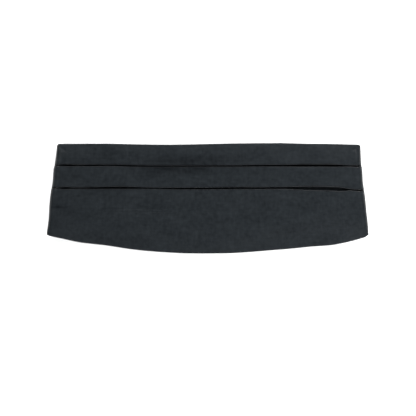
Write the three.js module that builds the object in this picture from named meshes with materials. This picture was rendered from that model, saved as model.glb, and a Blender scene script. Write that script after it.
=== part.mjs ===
// A pleated satin cummerbund, fastened into a loop and laid flat on a surface with its front up.
// Millimetres. X runs along the sash, Y towards its upper edge, and Z up from the surface.
// One width of satin is folded into two pleats that open upwards. It turns under at the lower edge and
// runs up the inside as its own facing. Both ends of the sash turn behind the front, where a strap
// from each is held by one flat clasp.

import * as THREE from "three";

// The front as it lies, between the two side folds
const FRONT_WIDTH_TOP = 353;
const FRONT_WIDTH_BOTTOM = 375;
const FRONT_HEIGHT_SIDE = 106;
const LOWER_EDGE_BOW = 21.5;
const EDGE_WANDER = 2;
const SIDE_WANDER = 1.2;
const FRONT_SAG = 0.6;

// Clear height between the front and the ends behind it
const WAIST_GAP = 5;

// Pleats, measured down from the upper edge
const PLEAT_1_DROP = 25;
const PLEAT_2_DROP = 51.6;
const PLEAT_1_DEPTH = 19;
const PLEAT_2_DEPTH = 26;
const GROOVE_WIDTH = 2.6;
const TOP_HEM = 9;

// Satin with its interlining, and the space left between two plies
const PLY = 1;
const PLY_GAP = 0.3;

// The ends that turn behind the front
const END_LENGTH = 122;
const END_WIDTH = 46;

// Strap and clasp
const STRAP_WIDTH = 32;
const STRAP_PLY = 1.2;
const STRAP_LAP = 20;
const STRAP_TURN_BACK = 16;
const STRAP_DROP_RUN = 15;
const CLASP_THICKNESS = 2;
const CLASP_BAR = 4;
const CLASP_BRIDGE = 6;
const CLASP_WINDOW = 5;
const CLASP_EDGE_ROUND = 0.4;
const CLASP_CORNER = 3;

// Clearance between pieces that touch
const CLEAR = 0.3;

// Levels of cloth: level 0 is the facing, and level 3 is the outer face of a pleat
const PITCH = PLY + PLY_GAP;
const TOP_LEVEL = 3;
const TURN = PITCH / 2;
const TURN_REACH = TURN + PLY / 2;
const STACK = TOP_LEVEL * PITCH + PLY;

// Heights over the surface
const CLASP_BASE = STRAP_PLY + CLEAR;
const FRONT_BASE = STACK + WAIST_GAP;
const BEND_RADIUS = WAIST_GAP / 2;
const BEND_HEIGHT = (FRONT_BASE + STACK) / 2;
const OUTER_RADIUS = BEND_RADIUS + STACK;

const STRAP_CENTRE = -FRONT_HEIGHT_SIDE / 2;

// Across the front from left to right. across is a share of the half width. upper, pleat1 and pleat2 say
// how far each line strays downwards, as shares of EDGE_WANDER. bow is a share of LOWER_EDGE_BOW, groove
// of GROOVE_WIDTH, and sag of FRONT_SAG.
const FRONT_ROWS = [
  { across: -1.0, upper: 0.05, pleat1: -0.3, pleat2: -0.35, bow: 0.06, groove: 0.35, sag: 0 },
  { across: -0.93, upper: 0.0, pleat1: -0.2, pleat2: -0.35, bow: 0.19, groove: 0.7, sag: 0.05 },
  { across: -0.82, upper: -0.05, pleat1: -0.12, pleat2: -0.33, bow: 0.39, groove: 0.6, sag: 0.15 },
  { across: -0.65, upper: 0.0, pleat1: -0.05, pleat2: -0.3, bow: 0.56, groove: 0.55, sag: 0.35 },
  { across: -0.48, upper: 0.35, pleat1: 0.2, pleat2: -0.3, bow: 0.78, groove: 0.7, sag: 0.55 },
  { across: -0.32, upper: 0.5, pleat1: 0.4, pleat2: 0.12, bow: 0.91, groove: 0.6, sag: 0.8 },
  { across: -0.15, upper: 0.4, pleat1: 0.47, pleat2: 0.24, bow: 0.99, groove: 0.55, sag: 0.95 },
  { across: 0.0, upper: 0.1, pleat1: 0.45, pleat2: 0.2, bow: 1.0, groove: 0.6, sag: 1 },
  { across: 0.18, upper: -0.2, pleat1: 0.25, pleat2: -0.12, bow: 0.97, groove: 0.6, sag: 0.95 },
  { across: 0.34, upper: -0.33, pleat1: 0.08, pleat2: -0.25, bow: 0.86, groove: 0.6, sag: 0.8 },
  { across: 0.5, upper: -0.37, pleat1: -0.1, pleat2: -0.25, bow: 0.75, groove: 0.75, sag: 0.55 },
  { across: 0.65, upper: -0.1, pleat1: 0.02, pleat2: 0.1, bow: 0.63, groove: 0.95, sag: 0.35 },
  { across: 0.8, upper: 0.1, pleat1: 0.15, pleat2: 0.4, bow: 0.51, groove: 1.0, sag: 0.15 },
  { across: 0.92, upper: 0.4, pleat1: 0.3, pleat2: 0.8, bow: 0.29, groove: 0.35, sag: 0.05 },
  { across: 1.0, upper: 0.62, pleat1: 0.28, pleat2: 1.05, bow: 0.1, groove: 0.3, sag: 0 },
];

// Down a side fold. down is a share of FRONT_HEIGHT_SIDE, and left and right say how far each fold strays
// outwards, as shares of SIDE_WANDER.
const SIDE_ROWS = [
  { down: 0, left: -1, right: 0.1 },
  { down: 0.12, left: -1.3, right: -0.3 },
  { down: 0.22, left: -0.8, right: -0.75 },
  { down: 0.27, left: -0.15, right: -0.15 },
  { down: 0.42, left: -0.25, right: -0.65 },
  { down: 0.54, left: 0.7, right: -0.2 },
  { down: 0.66, left: 0.5, right: -0.15 },
  { down: 0.84, left: -0.5, right: -0.2 },
  { down: 1, left: 0, right: -0.2 },
];

// How a turned-back end narrows from its side fold. along is a share of END_LENGTH, and narrow runs from 0,
// as at the fold, to 1, where the end is END_WIDTH wide.
const END_ROWS = [
  { along: 0.0, narrow: 0.0 },
  { along: 0.25, narrow: 0.14 },
  { along: 0.5, narrow: 0.42 },
  { along: 0.75, narrow: 0.74 },
  { along: 0.92, narrow: 0.95 },
  { along: 1.0, narrow: 1.0 },
];

// The two pleats, their depth and the hem at the narrow end, as shares of END_WIDTH
const END_SHARES = { pleat1: 0.28, pleat2: 0.56, depth: 0.2, groove: 0.04, hem: 0.12 };

const BEND_STEPS = 6;
const TURN_STEPS = 4;
const HIDDEN_TURN_STEPS = 2;

const SATIN = { color: 0x2b2f32, roughness: 0.62, metalness: 0 };
const WEBBING = { color: 0x1c1d1f, roughness: 0.8, metalness: 0 };
const BLACK_METAL = { color: 0x17181a, roughness: 0.35, metalness: 0.8 };

const { lerp, smoothstep } = THREE.MathUtils;

// A smooth curve through a table's rows, read as an object with the table's own columns.
function curveThrough(rows, place) {
  const columns = Object.keys(rows[0]).filter((name) => name !== place);
  const places = rows.map((row) => row[place]);
  const values = rows.flatMap((row) => columns.map((name) => row[name]));
  const curve = new THREE.CubicInterpolant(places, values, columns.length);
  return (at) => {
    const found = curve.evaluate(at);
    return Object.fromEntries(columns.map((name, i) => [name, found[i]]));
  };
}

const frontAt = curveThrough(FRONT_ROWS, "across");
const sideAt = curveThrough(SIDE_ROWS, "down");

// The lines of the sash at a place across the front, with the upper edge near y = 0.
function frontLines(across) {
  const row = frontAt(across);
  const groove = row.groove * GROOVE_WIDTH;
  return {
    top: -row.upper * EDGE_WANDER,
    pleat1: -PLEAT_1_DROP - row.pleat1 * EDGE_WANDER - groove / 2,
    pleat2: -PLEAT_2_DROP - row.pleat2 * EDGE_WANDER - groove / 2,
    bottom: -FRONT_HEIGHT_SIDE - row.bow * LOWER_EDGE_BOW,
    depth1: PLEAT_1_DEPTH,
    depth2: PLEAT_2_DEPTH,
    groove,
    hem: TOP_HEM,
    sag: row.sag * FRONT_SAG,
  };
}

// The same lines on a side fold, where the lower edge comes up to the corner.
function foldLines(side, angle) {
  const lines = frontLines(side);
  const corner = Math.sin(Math.min(angle, Math.PI / 2));
  return { ...lines, bottom: lerp(lines.bottom, -FRONT_HEIGHT_SIDE, corner) };
}

// The same lines on a turned-back end, which narrows towards the strap.
function endLines(side, narrow) {
  const fold = foldLines(side, Math.PI);
  const endTop = STRAP_CENTRE + END_WIDTH / 2;
  const end = {
    top: endTop,
    pleat1: endTop - END_SHARES.pleat1 * END_WIDTH,
    pleat2: endTop - END_SHARES.pleat2 * END_WIDTH,
    bottom: endTop - END_WIDTH,
    depth1: END_SHARES.depth * END_WIDTH,
    depth2: END_SHARES.depth * END_WIDTH,
    groove: END_SHARES.groove * END_WIDTH,
    hem: END_SHARES.hem * END_WIDTH,
    sag: 0,
  };
  return Object.fromEntries(Object.keys(fold).map((name) => [name, lerp(fold[name], end[name], narrow)]));
}

const levelHeight = (level) => PLY / 2 + level * PITCH;

// Half a turn of cloth between two levels, bulging towards +Y or -Y and reaching the given line.
function turnOfCloth(line, towards, fromLevel, toLevel, steps = TURN_STEPS) {
  const middle = (levelHeight(fromLevel) + levelHeight(toLevel)) / 2;
  const radius = levelHeight(fromLevel) - middle;
  const points = [];
  for (let i = 0; i <= steps; i++) {
    const angle = (Math.PI * i) / steps;
    const y = line - towards * (TURN_REACH - TURN * Math.sin(angle));
    points.push(new THREE.Vector2(y, middle + radius * Math.cos(angle)));
  }
  return points;
}

// The satin's own line across the sash, from the facing's upper end round to the hem. The plies that lie
// on each other have their points at the same heights, so that they stay clear where the sash bends.
function clothLine(lines) {
  const at = (y, level) => new THREE.Vector2(y, levelHeight(level));
  const { top, pleat1, pleat2, bottom } = lines;
  const under1 = pleat1 - lines.depth1;
  const under2 = pleat2 - lines.depth2;
  const rise1 = pleat1 + lines.groove;
  const rise2 = pleat2 + lines.groove;
  const upperBand = (share) => lerp(rise1, top - TURN_REACH, share);
  const lowerBand = (share) => lerp(bottom + TURN_REACH, under2, share);
  return [
    at(top - lines.hem - PLY_GAP, 0),
    ...[rise1, pleat1, under1, rise2, pleat2, under2].map((y) => at(y, 0)),
    ...[0.7, 0.35].map((share) => at(lowerBand(share), 0)),
    ...turnOfCloth(bottom, -1, 0, 1),
    at(lowerBand(0.35), 1.95),
    at(lowerBand(0.7), 2.7),
    at(under2, TOP_LEVEL),
    ...turnOfCloth(pleat2, 1, TOP_LEVEL, 2),
    ...turnOfCloth(under2, -1, 2, 1, HIDDEN_TURN_STEPS),
    at(pleat2, 1),
    at(lerp(pleat2, rise2, 0.6), 2.1),
    at(rise2, TOP_LEVEL),
    at(under1, TOP_LEVEL),
    ...turnOfCloth(pleat1, 1, TOP_LEVEL, 2),
    ...turnOfCloth(under1, -1, 2, 1, HIDDEN_TURN_STEPS),
    at(pleat1, 1),
    at(lerp(pleat1, rise1, 0.6), 2.1),
    at(rise1, TOP_LEVEL),
    at(upperBand(0.2), TOP_LEVEL),
    at(upperBand(0.45), 2.5),
    at(upperBand(0.75), 1.7),
    ...turnOfCloth(top, 1, 1, 0),
    at(top - lines.hem, 0),
  ];
}

// The closed outline of a ribbon of the given thickness that follows a line.
function ribbonOutline(line, thickness) {
  const left = [];
  const right = [];
  line.forEach((point, i) => {
    const before = line[Math.max(i - 1, 0)];
    const after = line[Math.min(i + 1, line.length - 1)];
    const into = point.clone().sub(before).normalize();
    const outOf = after.clone().sub(point).normalize();
    const along = into.clone().add(outOf).normalize();
    const square = new THREE.Vector2(-along.y, along.x);
    const straight = i === 0 ? outOf : into;
    const reach = thickness / 2 / Math.max(square.dot(new THREE.Vector2(-straight.y, straight.x)), 0.5);
    left.push(point.clone().addScaledVector(square, reach));
    right.push(point.clone().addScaledVector(square, -reach));
  });
  return [...right, ...left.reverse()];
}

// How far the middle of a side fold lies from the sash's middle at height y. The sash is thinner towards
// its upper and lower edges, so the fold's middle moves out there and its outer side stays straight.
function foldMiddle(lines, across, y) {
  const down = THREE.MathUtils.clamp(-y / FRONT_HEIGHT_SIDE, 0, 1);
  const { left, right } = sideAt(down);
  const stray = SIDE_WANDER * Math.abs(across) * (across < 0 ? left : right);
  const halfWidth = lerp(FRONT_WIDTH_TOP, FRONT_WIDTH_BOTTOM, down) / 2 + stray;
  const rise1 = lines.pleat1 + lines.groove;
  const under2 = lines.pleat2 - lines.depth2;
  const nearTop = THREE.MathUtils.clamp((y - rise1) / (lines.top - rise1), 0, 1);
  const nearBottom = THREE.MathUtils.clamp((under2 - y) / (under2 - lines.bottom), 0, 1);
  return halfWidth - OUTER_RADIUS + (nearTop + nearBottom) * 2 * PITCH;
}

// The same distance for an end that has come to its full narrowness, where its edge is square to the strap.
const END_REACH = foldMiddle(frontLines(1), 0, STRAP_CENTRE);
const END_EDGE = END_REACH - END_LENGTH;

// Each station of the sash: its lines, and how a point at height y and offset n from the inside lies in space.
function frontStation(across) {
  const lines = frontLines(across);
  return {
    lines,
    place: (y, n) => new THREE.Vector3(across * foldMiddle(lines, across, y), y, FRONT_BASE - lines.sag + n),
  };
}

function bendStation(side, turned) {
  const angle = Math.PI * turned;
  const lines = foldLines(side, angle);
  return {
    lines,
    place: (y, n) =>
      new THREE.Vector3(
        side * (foldMiddle(lines, side, y) + (BEND_RADIUS + n) * Math.sin(angle)),
        y,
        BEND_HEIGHT + (BEND_RADIUS + n) * Math.cos(angle),
      ),
  };
}

function endStation(side, row) {
  const lines = endLines(side, row.narrow);
  const square = smoothstep(row.along, 0, 1);
  return {
    lines,
    place: (y, n) => {
      const reach = lerp(foldMiddle(lines, side, y), END_REACH, square);
      return new THREE.Vector3(side * (reach - row.along * END_LENGTH), y, STACK - n);
    },
  };
}

// All stations from the left end's strap seam, round the front, to the right end's.
function sashStations() {
  const bend = (side) =>
    Array.from({ length: BEND_STEPS - 1 }, (_, i) => bendStation(side, (i + 1) / BEND_STEPS));
  const end = (side) => END_ROWS.map((row) => endStation(side, row));
  const front = [];
  FRONT_ROWS.forEach(({ across }, i) => {
    if (i > 0) front.push(frontStation((across + FRONT_ROWS[i - 1].across) / 2));
    front.push(frontStation(across));
  });
  return [...end(-1).reverse(), ...bend(-1).reverse(), ...front, ...bend(1), ...end(1)];
}

// A closed solid through rings that all have the same number of points, in the same order.
function loft(rings, capOutline) {
  const size = rings[0].length;
  const index = [];
  for (let r = 0; r + 1 < rings.length; r++) {
    for (let i = 0; i < size; i++) {
      const a = r * size + i;
      const b = r * size + ((i + 1) % size);
      index.push(a, b, a + size, b, b + size, a + size);
    }
  }
  const last = (rings.length - 1) * size;
  for (const [ring, first, flip] of [[0, 0, true], [rings.length - 1, last, false]]) {
    for (const [a, b, c] of THREE.ShapeUtils.triangulateShape(capOutline[ring === 0 ? 0 : 1], [])) {
      index.push(first + a, first + (flip ? c : b), first + (flip ? b : c));
    }
  }
  const geometry = new THREE.BufferGeometry().setFromPoints(rings.flat());
  geometry.setIndex(index);
  geometry.computeVertexNormals();
  return geometry;
}

function sashGeometry() {
  const stations = sashStations();
  const outlines = stations.map(({ lines }) => ribbonOutline(clothLine(lines), PLY));
  const rings = stations.map(({ place }, i) => outlines[i].map(({ x, y }) => place(x, y)));
  return loft(rings, [outlines[0], outlines.at(-1)]);
}

// The strap's line in X and Z, for the strap on the right: flat inside the sash's end, down to the surface,
// round the clasp's outer bar and back over itself.
function strapLine() {
  const onFloor = STRAP_PLY / 2;
  const onEnd = STACK + CLEAR + STRAP_PLY / 2;
  const turn = (CLASP_THICKNESS + STRAP_PLY) / 2 + CLEAR;
  const turnMiddle = CLASP_BRIDGE / 2 + CLASP_WINDOW;
  const barEnd = turnMiddle + CLASP_BAR;
  const slope = (from, to, fromHeight, toHeight) =>
    [0, 0.25, 0.5, 0.75, 1].map(
      (share) => new THREE.Vector2(lerp(from, to, share), lerp(fromHeight, toHeight, smoothstep(share, 0, 1))),
    );
  const points = [new THREE.Vector2(END_EDGE + STRAP_LAP, onEnd)];
  points.push(...slope(END_EDGE, END_EDGE - STRAP_DROP_RUN, onEnd, onFloor));
  for (let i = 0; i <= 2 * TURN_STEPS; i++) {
    const angle = -Math.PI / 2 - (Math.PI * i) / (2 * TURN_STEPS);
    points.push(new THREE.Vector2(turnMiddle + turn * Math.cos(angle), onFloor + turn * (1 + Math.sin(angle))));
  }
  const folded = onFloor + STRAP_PLY + CLEAR;
  points.push(...slope(barEnd, barEnd + 2 * turn, onFloor + 2 * turn, folded));
  points.push(new THREE.Vector2(barEnd + 2 * turn + STRAP_TURN_BACK, folded));
  return points;
}

function strapGeometry(side) {
  const outline = ribbonOutline(strapLine(), STRAP_PLY).map(({ x, y }) => new THREE.Vector2(side * x, y));
  const geometry = new THREE.ExtrudeGeometry(new THREE.Shape(outline), {
    depth: STRAP_WIDTH,
    bevelEnabled: false,
  });
  return geometry.rotateX(Math.PI / 2).translate(0, STRAP_WIDTH / 2, 0);
}

function roundedRectangle(path, left, bottom, right, top, corner) {
  path.moveTo(left + corner, bottom);
  path.lineTo(right - corner, bottom);
  path.absarc(right - corner, bottom + corner, corner, -Math.PI / 2, 0, false);
  path.lineTo(right, top - corner);
  path.absarc(right - corner, top - corner, corner, 0, Math.PI / 2, false);
  path.lineTo(left + corner, top);
  path.absarc(left + corner, top - corner, corner, Math.PI / 2, Math.PI, false);
  path.lineTo(left, bottom + corner);
  path.absarc(left + corner, bottom + corner, corner, Math.PI, (3 * Math.PI) / 2, false);
  return path;
}

// A flat plate with a window for each strap, its edges a little rounded.
function claspGeometry() {
  const windowHalf = STRAP_WIDTH / 2 + 2 * CLEAR;
  const halfWidth = CLASP_BRIDGE / 2 + CLASP_WINDOW + CLASP_BAR;
  const halfHeight = windowHalf + CLASP_BAR;
  const plate = roundedRectangle(
    new THREE.Shape(), -halfWidth, -halfHeight, halfWidth, halfHeight, CLASP_CORNER,
  );
  for (const side of [-1, 1]) {
    const inner = (side * CLASP_BRIDGE) / 2;
    const outer = inner + side * CLASP_WINDOW;
    const [left, right] = side > 0 ? [inner, outer] : [outer, inner];
    plate.holes.push(
      roundedRectangle(new THREE.Path(), left, -windowHalf, right, windowHalf, CLASP_EDGE_ROUND),
    );
  }
  const geometry = new THREE.ExtrudeGeometry(plate, {
    depth: CLASP_THICKNESS - 2 * CLASP_EDGE_ROUND,
    bevelThickness: CLASP_EDGE_ROUND,
    bevelSize: CLASP_EDGE_ROUND,
    bevelOffset: -CLASP_EDGE_ROUND,
    bevelSegments: 1,
    curveSegments: 3,
  });
  return geometry.translate(0, 0, CLASP_EDGE_ROUND);
}

function piece(name, geometry, finish) {
  const mesh = new THREE.Mesh(geometry, new THREE.MeshStandardMaterial(finish));
  mesh.name = name;
  return mesh;
}

const cummerbund = new THREE.Group();
cummerbund.add(piece("pleated_sash", sashGeometry(), SATIN));

const fastening = new THREE.Group();
fastening.position.y = STRAP_CENTRE;
fastening.add(piece("strap_left", strapGeometry(-1), WEBBING));
fastening.add(piece("strap_right", strapGeometry(1), WEBBING));
const clasp = piece("clasp", claspGeometry(), BLACK_METAL);
clasp.position.z = CLASP_BASE;
fastening.add(clasp);
cummerbund.add(fastening);

// The origin is on the surface, under the middle of the whole object.
cummerbund.updateMatrixWorld(true);
const middle = new THREE.Box3().setFromObject(cummerbund, true).getCenter(new THREE.Vector3());
cummerbund.position.set(-middle.x, -middle.y, 0);

export default cummerbund;
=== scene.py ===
# %% [markdown]
# # A pleated satin cummerbund, fastened and laid flat
#
# The real thing is one wide piece of black satin. It is folded into two long pleats that open upwards,
# turned under at its lower edge, and faced with the same satin on the inside. Its two ends narrow behind
# the wearer, where a webbing strap from each end meets at a flat clasp.
#
# Here it is fastened into its loop and laid down with the front up, so the ends, the straps and the clasp
# lie under the front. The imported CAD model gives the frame: every piece is built where its CAD solid is.

import math

import bmesh
import bpy
import numpy as np
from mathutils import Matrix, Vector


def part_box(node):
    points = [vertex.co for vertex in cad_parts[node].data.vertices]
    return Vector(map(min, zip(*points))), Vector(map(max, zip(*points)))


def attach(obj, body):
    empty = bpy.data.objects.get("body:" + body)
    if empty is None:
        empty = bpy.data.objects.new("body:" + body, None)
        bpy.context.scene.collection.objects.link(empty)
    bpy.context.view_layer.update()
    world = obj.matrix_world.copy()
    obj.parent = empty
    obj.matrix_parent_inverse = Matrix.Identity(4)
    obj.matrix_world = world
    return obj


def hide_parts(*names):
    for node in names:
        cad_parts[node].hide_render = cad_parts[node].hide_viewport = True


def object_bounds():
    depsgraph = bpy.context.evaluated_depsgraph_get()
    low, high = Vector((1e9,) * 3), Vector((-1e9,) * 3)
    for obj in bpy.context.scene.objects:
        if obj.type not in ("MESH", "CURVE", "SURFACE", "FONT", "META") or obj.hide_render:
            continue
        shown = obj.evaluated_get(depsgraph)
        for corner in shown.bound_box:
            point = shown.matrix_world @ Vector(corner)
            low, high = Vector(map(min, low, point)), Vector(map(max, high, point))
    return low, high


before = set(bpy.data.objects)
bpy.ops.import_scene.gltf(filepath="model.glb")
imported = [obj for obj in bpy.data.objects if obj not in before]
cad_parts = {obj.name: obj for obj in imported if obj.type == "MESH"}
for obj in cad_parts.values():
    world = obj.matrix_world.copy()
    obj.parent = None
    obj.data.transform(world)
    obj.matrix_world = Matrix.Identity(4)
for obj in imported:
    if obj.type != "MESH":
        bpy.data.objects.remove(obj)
bpy.context.view_layer.update()
CAD_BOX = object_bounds()
MM = 0.001


def new_object(name, data):
    """An object in the scene, at the frame's origin."""
    made = bpy.data.objects.new(name, data)
    bpy.context.scene.collection.objects.link(made)
    return made


print("CAD box, mm:", [[round(c / MM, 1) for c in corner] for corner in CAD_BOX])

# %% [markdown]
# ## Camera
#
# The photo looks straight down on the front. The middle of the front is taken as 5 inches high, which gives
# the size of one pixel. The camera hangs over the point that is at the middle of the photo, high enough
# that the thickness of the sash hardly shows, and its lens is worked out from the width of the view.
# The size holds at about half the height of the folded sash, where its outline is.

# %% Camera
PIXEL = 1.166 * MM
PHOTO_SIDE = 416 * PIXEL
CAMERA_HEIGHT = 1.9
SENSOR = 36.0
OUTLINE_LEVEL = 0.55 * CAD_BOX[1].z
VIEW_MIDDLE = (-0.04 * MM, -11.3 * MM)


def hang_camera():
    """A camera that looks straight down, as the photo does."""
    data = bpy.data.cameras.new("photo_camera")
    data.sensor_width = SENSOR
    data.lens = SENSOR * CAMERA_HEIGHT / PHOTO_SIDE
    data.clip_start = 0.01
    data.clip_end = 20
    camera = new_object("photo_camera", data)
    camera.location = (*VIEW_MIDDLE, OUTLINE_LEVEL + CAMERA_HEIGHT)
    bpy.context.scene.camera = camera
    return camera


print("lens, mm:", round(hang_camera().data.lens, 1))

# %% [markdown]
# ## Sizes
#
# These are the sizes of the CAD solid, in metres, so that the fine cloth lies just where the solid lies.
# The cloth itself is a little thinner than the solid's walls, which leaves some air between the plies, and
# its soft edges reach a third of a millimetre further.
#
# The tables say how the photo's lines wander: the upper edge and the two pleat folds as shares of
# EDGE_WANDER, the lower edge as a share of LOWER_EDGE_BOW and the side folds as shares of SIDE_WANDER.
# They run from the left side fold (across = -1) to the right one (across = 1), or down the side folds.

# %% Sizes and tables
FRONT_WIDTH_TOP = 353 * MM
FRONT_WIDTH_BOTTOM = 375 * MM
FRONT_HEIGHT_SIDE = 106 * MM
LOWER_EDGE_BOW = 21.5 * MM
EDGE_WANDER = 2 * MM
SIDE_WANDER = 1.2 * MM
FRONT_SAG = 0.6 * MM
WAIST_GAP = 5 * MM
PLEAT_1_DROP = 25 * MM
PLEAT_2_DROP = 51.6 * MM
PLEAT_1_DEPTH = 19 * MM
PLEAT_2_DEPTH = 26 * MM
TOP_HEM = 9 * MM
PITCH = 1.3 * MM
SOLID_PLY = 1 * MM
CLOTH_PLY = 0.84 * MM
END_LENGTH = 122 * MM
END_WIDTH = 46 * MM
SOFT_EDGE = 0.3 * MM
TOP_LEVEL = 3
STACK = TOP_LEVEL * PITCH + SOLID_PLY
FRONT_BASE = STACK + WAIST_GAP
BEND_RADIUS = WAIST_GAP / 2
BEND_HEIGHT = (FRONT_BASE + STACK) / 2
OUTER_RADIUS = BEND_RADIUS + STACK
TURN_REACH = PITCH / 2 + SOLID_PLY / 2
STRAP_CENTRE = -FRONT_HEIGHT_SIDE / 2

FRONT_ROWS = {
    "across": [-1, -0.93, -0.82, -0.65, -0.48, -0.32, -0.15, 0, 0.18, 0.34, 0.5, 0.65, 0.8, 0.92, 1],
    "upper": [0.05, 0, -0.05, 0, 0.35, 0.5, 0.4, 0.1, -0.2, -0.33, -0.37, -0.1, 0.08, 0.3, 0.48],
    "pleat1": [0.0, 0.02, 0.09, 0.04, 0.4, 0.56, 0.52, 0.44, 0.4, 0.24, 0.22, 0.15, 0.15, 0.3, 0.5],
    "pleat2": [-0.1, -0.05, -0.03, -0.16, -0.12, 0.12, 0.24, 0.2, -0.03, 0, -0.1, 0.05, 0.28, 0.8, 1.3],
    "bow": [0.06, 0.19, 0.39, 0.56, 0.78, 0.91, 0.99, 1, 0.97, 0.87, 0.76, 0.636, 0.532, 0.313, 0.12],
    "sag": [0, 0.05, 0.15, 0.35, 0.55, 0.8, 0.95, 1, 0.95, 0.8, 0.55, 0.35, 0.15, 0.05, 0],
}
SIDE_ROWS = {
    "down": [0, 0.12, 0.22, 0.27, 0.42, 0.54, 0.66, 0.84, 1],
    "left": [-1.2, -1.15, -0.35, 0.4, 0.15, 0.9, 0.98, 0.1, 0.8],
    "right": [0, -0.6, -0.6, -0.05, -0.5, -0.1, 0, -0.15, -0.2],
}
END_ROWS = {
    "along": [0, 0.25, 0.5, 0.75, 0.92, 1],
    "narrow": [0, 0.14, 0.42, 0.74, 0.95, 1],
}
END_SHARES = {"pleat1": 0.28, "pleat2": 0.56, "depth": 0.2, "gap": 0.02, "hem": 0.12}


def curve_through(rows, place):
    """Smooth curves through a table's columns: each row's slope is the mean of the two beside it."""
    at = np.array(rows[place], float)
    values = np.array([rows[name] for name in rows if name != place], float)
    names = [name for name in rows if name != place]
    step = np.diff(at)
    secant = np.diff(values) / step
    slope = np.concatenate([secant[:, :1], (secant[:, 1:] + secant[:, :-1]) / 2, secant[:, -1:]], axis=1)

    def read(where):
        where = np.clip(np.asarray(where, float), at[0], at[-1])
        i = np.clip(np.searchsorted(at, where, side="right") - 1, 0, len(step) - 1)
        h = step[i]
        t = (where - at[i]) / h
        found = (
            values[:, i] * (2 * t**3 - 3 * t**2 + 1)
            + values[:, i + 1] * (3 * t**2 - 2 * t**3)
            + slope[:, i] * h * (t**3 - 2 * t**2 + t)
            + slope[:, i + 1] * h * (t**3 - t**2)
        )
        return dict(zip(names, found))

    return read


front_at = curve_through(FRONT_ROWS, "across")
side_at = curve_through(SIDE_ROWS, "down")
end_at = curve_through(END_ROWS, "along")
print("upper edge at the middle strays, mm:", round(float(front_at(0)["upper"]) * EDGE_WANDER / MM, 2))

# %% [markdown]
# ## The lines of the sash
#
# A tailor would draw the sash as a few lines: the upper edge, the two pleat folds, how deep each pleat
# goes, and the lower edge. Everything else follows from them. On the front the lines wander as in the
# photo, and on the ends behind it they close in on the strap.
#
# The gaps over the pleat folds are pressed almost shut near the side folds and stand open in between, so
# they have a table of their own, with more rows than the solid needs. It gives the widths of the dark
# lines that one sees from above, in millimetres. The gap itself has to be wider than its dark line, because
# the rounded folds beside it catch some light. Round the side folds the gaps close, till the plies touch.

# %% Lines of the sash
GAP_ROWS = {
    "across": [-1, -0.988, -0.968, -0.941, -0.9, -0.86, -0.78, -0.685, -0.604, -0.537, -0.456, -0.355, -0.187,
               -0.019, 0.116, 0.25, 0.419, 0.54, 0.62, 0.721, 0.822, 0.876, 0.91, 0.937, 0.964, 1],
    "gap1": [0.62, 0.85, 1.12, 1.05, 0.82, 0.58, 0.85, 0.55, 0.6, 0.7, 0.6, 0.36, 0.34,
             0.46, 0.5, 0.76, 0.8, 1.05, 1.5, 1.35, 1.45, 1.3, 0.95, 0.66, 0.68, 0.85],
    "gap2": [0.55, 0.65, 0.9, 1.28, 0.68, 0.6, 0.86, 1.08, 1.22, 1.22, 0.76, 0.56, 0.78,
             0.86, 1.02, 0.98, 0.95, 1.3, 2.3, 2.8, 2.8, 3.1, 1.95, 0.75, 0.6, 0.85],
}
GAP_PER_LINE = 1.36
SHUT_GAP = CLOTH_PLY - SOLID_PLY
CORNER_RADIUS = 2.6 * MM
gap_at = curve_through(GAP_ROWS, "across")


def front_lines(across):
    """The sash's lines at a place across the front, with the upper edge near y = 0."""
    row = front_at(across)
    gap = {name: GAP_PER_LINE * width * MM for name, width in gap_at(across).items()}
    return {
        "top": SOFT_EDGE - row["upper"] * EDGE_WANDER,
        "pleat1": -PLEAT_1_DROP - row["pleat1"] * EDGE_WANDER - gap["gap1"] / 2,
        "pleat2": -PLEAT_2_DROP - row["pleat2"] * EDGE_WANDER - gap["gap2"] / 2,
        "bottom": -FRONT_HEIGHT_SIDE - row["bow"] * LOWER_EDGE_BOW - SOFT_EDGE,
        "depth1": PLEAT_1_DEPTH,
        "depth2": PLEAT_2_DEPTH,
        "gap1": gap["gap1"],
        "gap2": gap["gap2"],
        "hem": TOP_HEM,
        "sag": row["sag"] * FRONT_SAG,
    }


def smooth(share):
    share = np.clip(share, 0, 1)
    return share * share * (3 - 2 * share)


def round_share(angle):
    """How far round a side fold, from 0 on the front to 1 at the outline and beyond it."""
    return smooth(np.array(2 * angle / math.pi))


def fold_lines(side, angle):
    """The same lines on a side fold: the corners come in and the gaps close."""
    lines = front_lines(side)
    corner = math.sin(min(angle, math.pi / 2))
    lines["bottom"] = (1 - corner) * lines["bottom"] - corner * (FRONT_HEIGHT_SIDE + SOFT_EDGE)
    rounding = 1 - min(OUTER_RADIUS * (1 - corner) / CORNER_RADIUS, 1)
    lines["top"] -= CORNER_RADIUS * (1 - math.sqrt(1 - rounding * rounding))
    for pleat, gap in (("pleat1", "gap1"), ("pleat2", "gap2")):
        closing = round_share(angle) * (lines[gap] - SHUT_GAP)
        lines[gap] -= closing
        lines[pleat] += closing / 2
    return lines


def end_lines(side, narrow):
    """The same lines on an end behind the front, which narrows towards the strap."""
    fold = fold_lines(side, math.pi)
    top = STRAP_CENTRE + END_WIDTH / 2
    end = {
        "top": top,
        "pleat1": top - END_SHARES["pleat1"] * END_WIDTH,
        "pleat2": top - END_SHARES["pleat2"] * END_WIDTH,
        "bottom": top - END_WIDTH,
        "depth1": END_SHARES["depth"] * END_WIDTH,
        "depth2": END_SHARES["depth"] * END_WIDTH,
        "gap1": END_SHARES["gap"] * END_WIDTH,
        "gap2": END_SHARES["gap"] * END_WIDTH,
        "hem": END_SHARES["hem"] * END_WIDTH,
        "sag": 0.0,
    }
    return {name: (1 - narrow) * fold[name] + narrow * end[name] for name in fold}


print("band heights at the middle, mm:",
      [round(float(front_lines(0)[a] - front_lines(0)[b]) / MM, 1)
       for a, b in (("top", "pleat1"), ("pleat1", "pleat2"), ("pleat2", "bottom"))])

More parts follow.
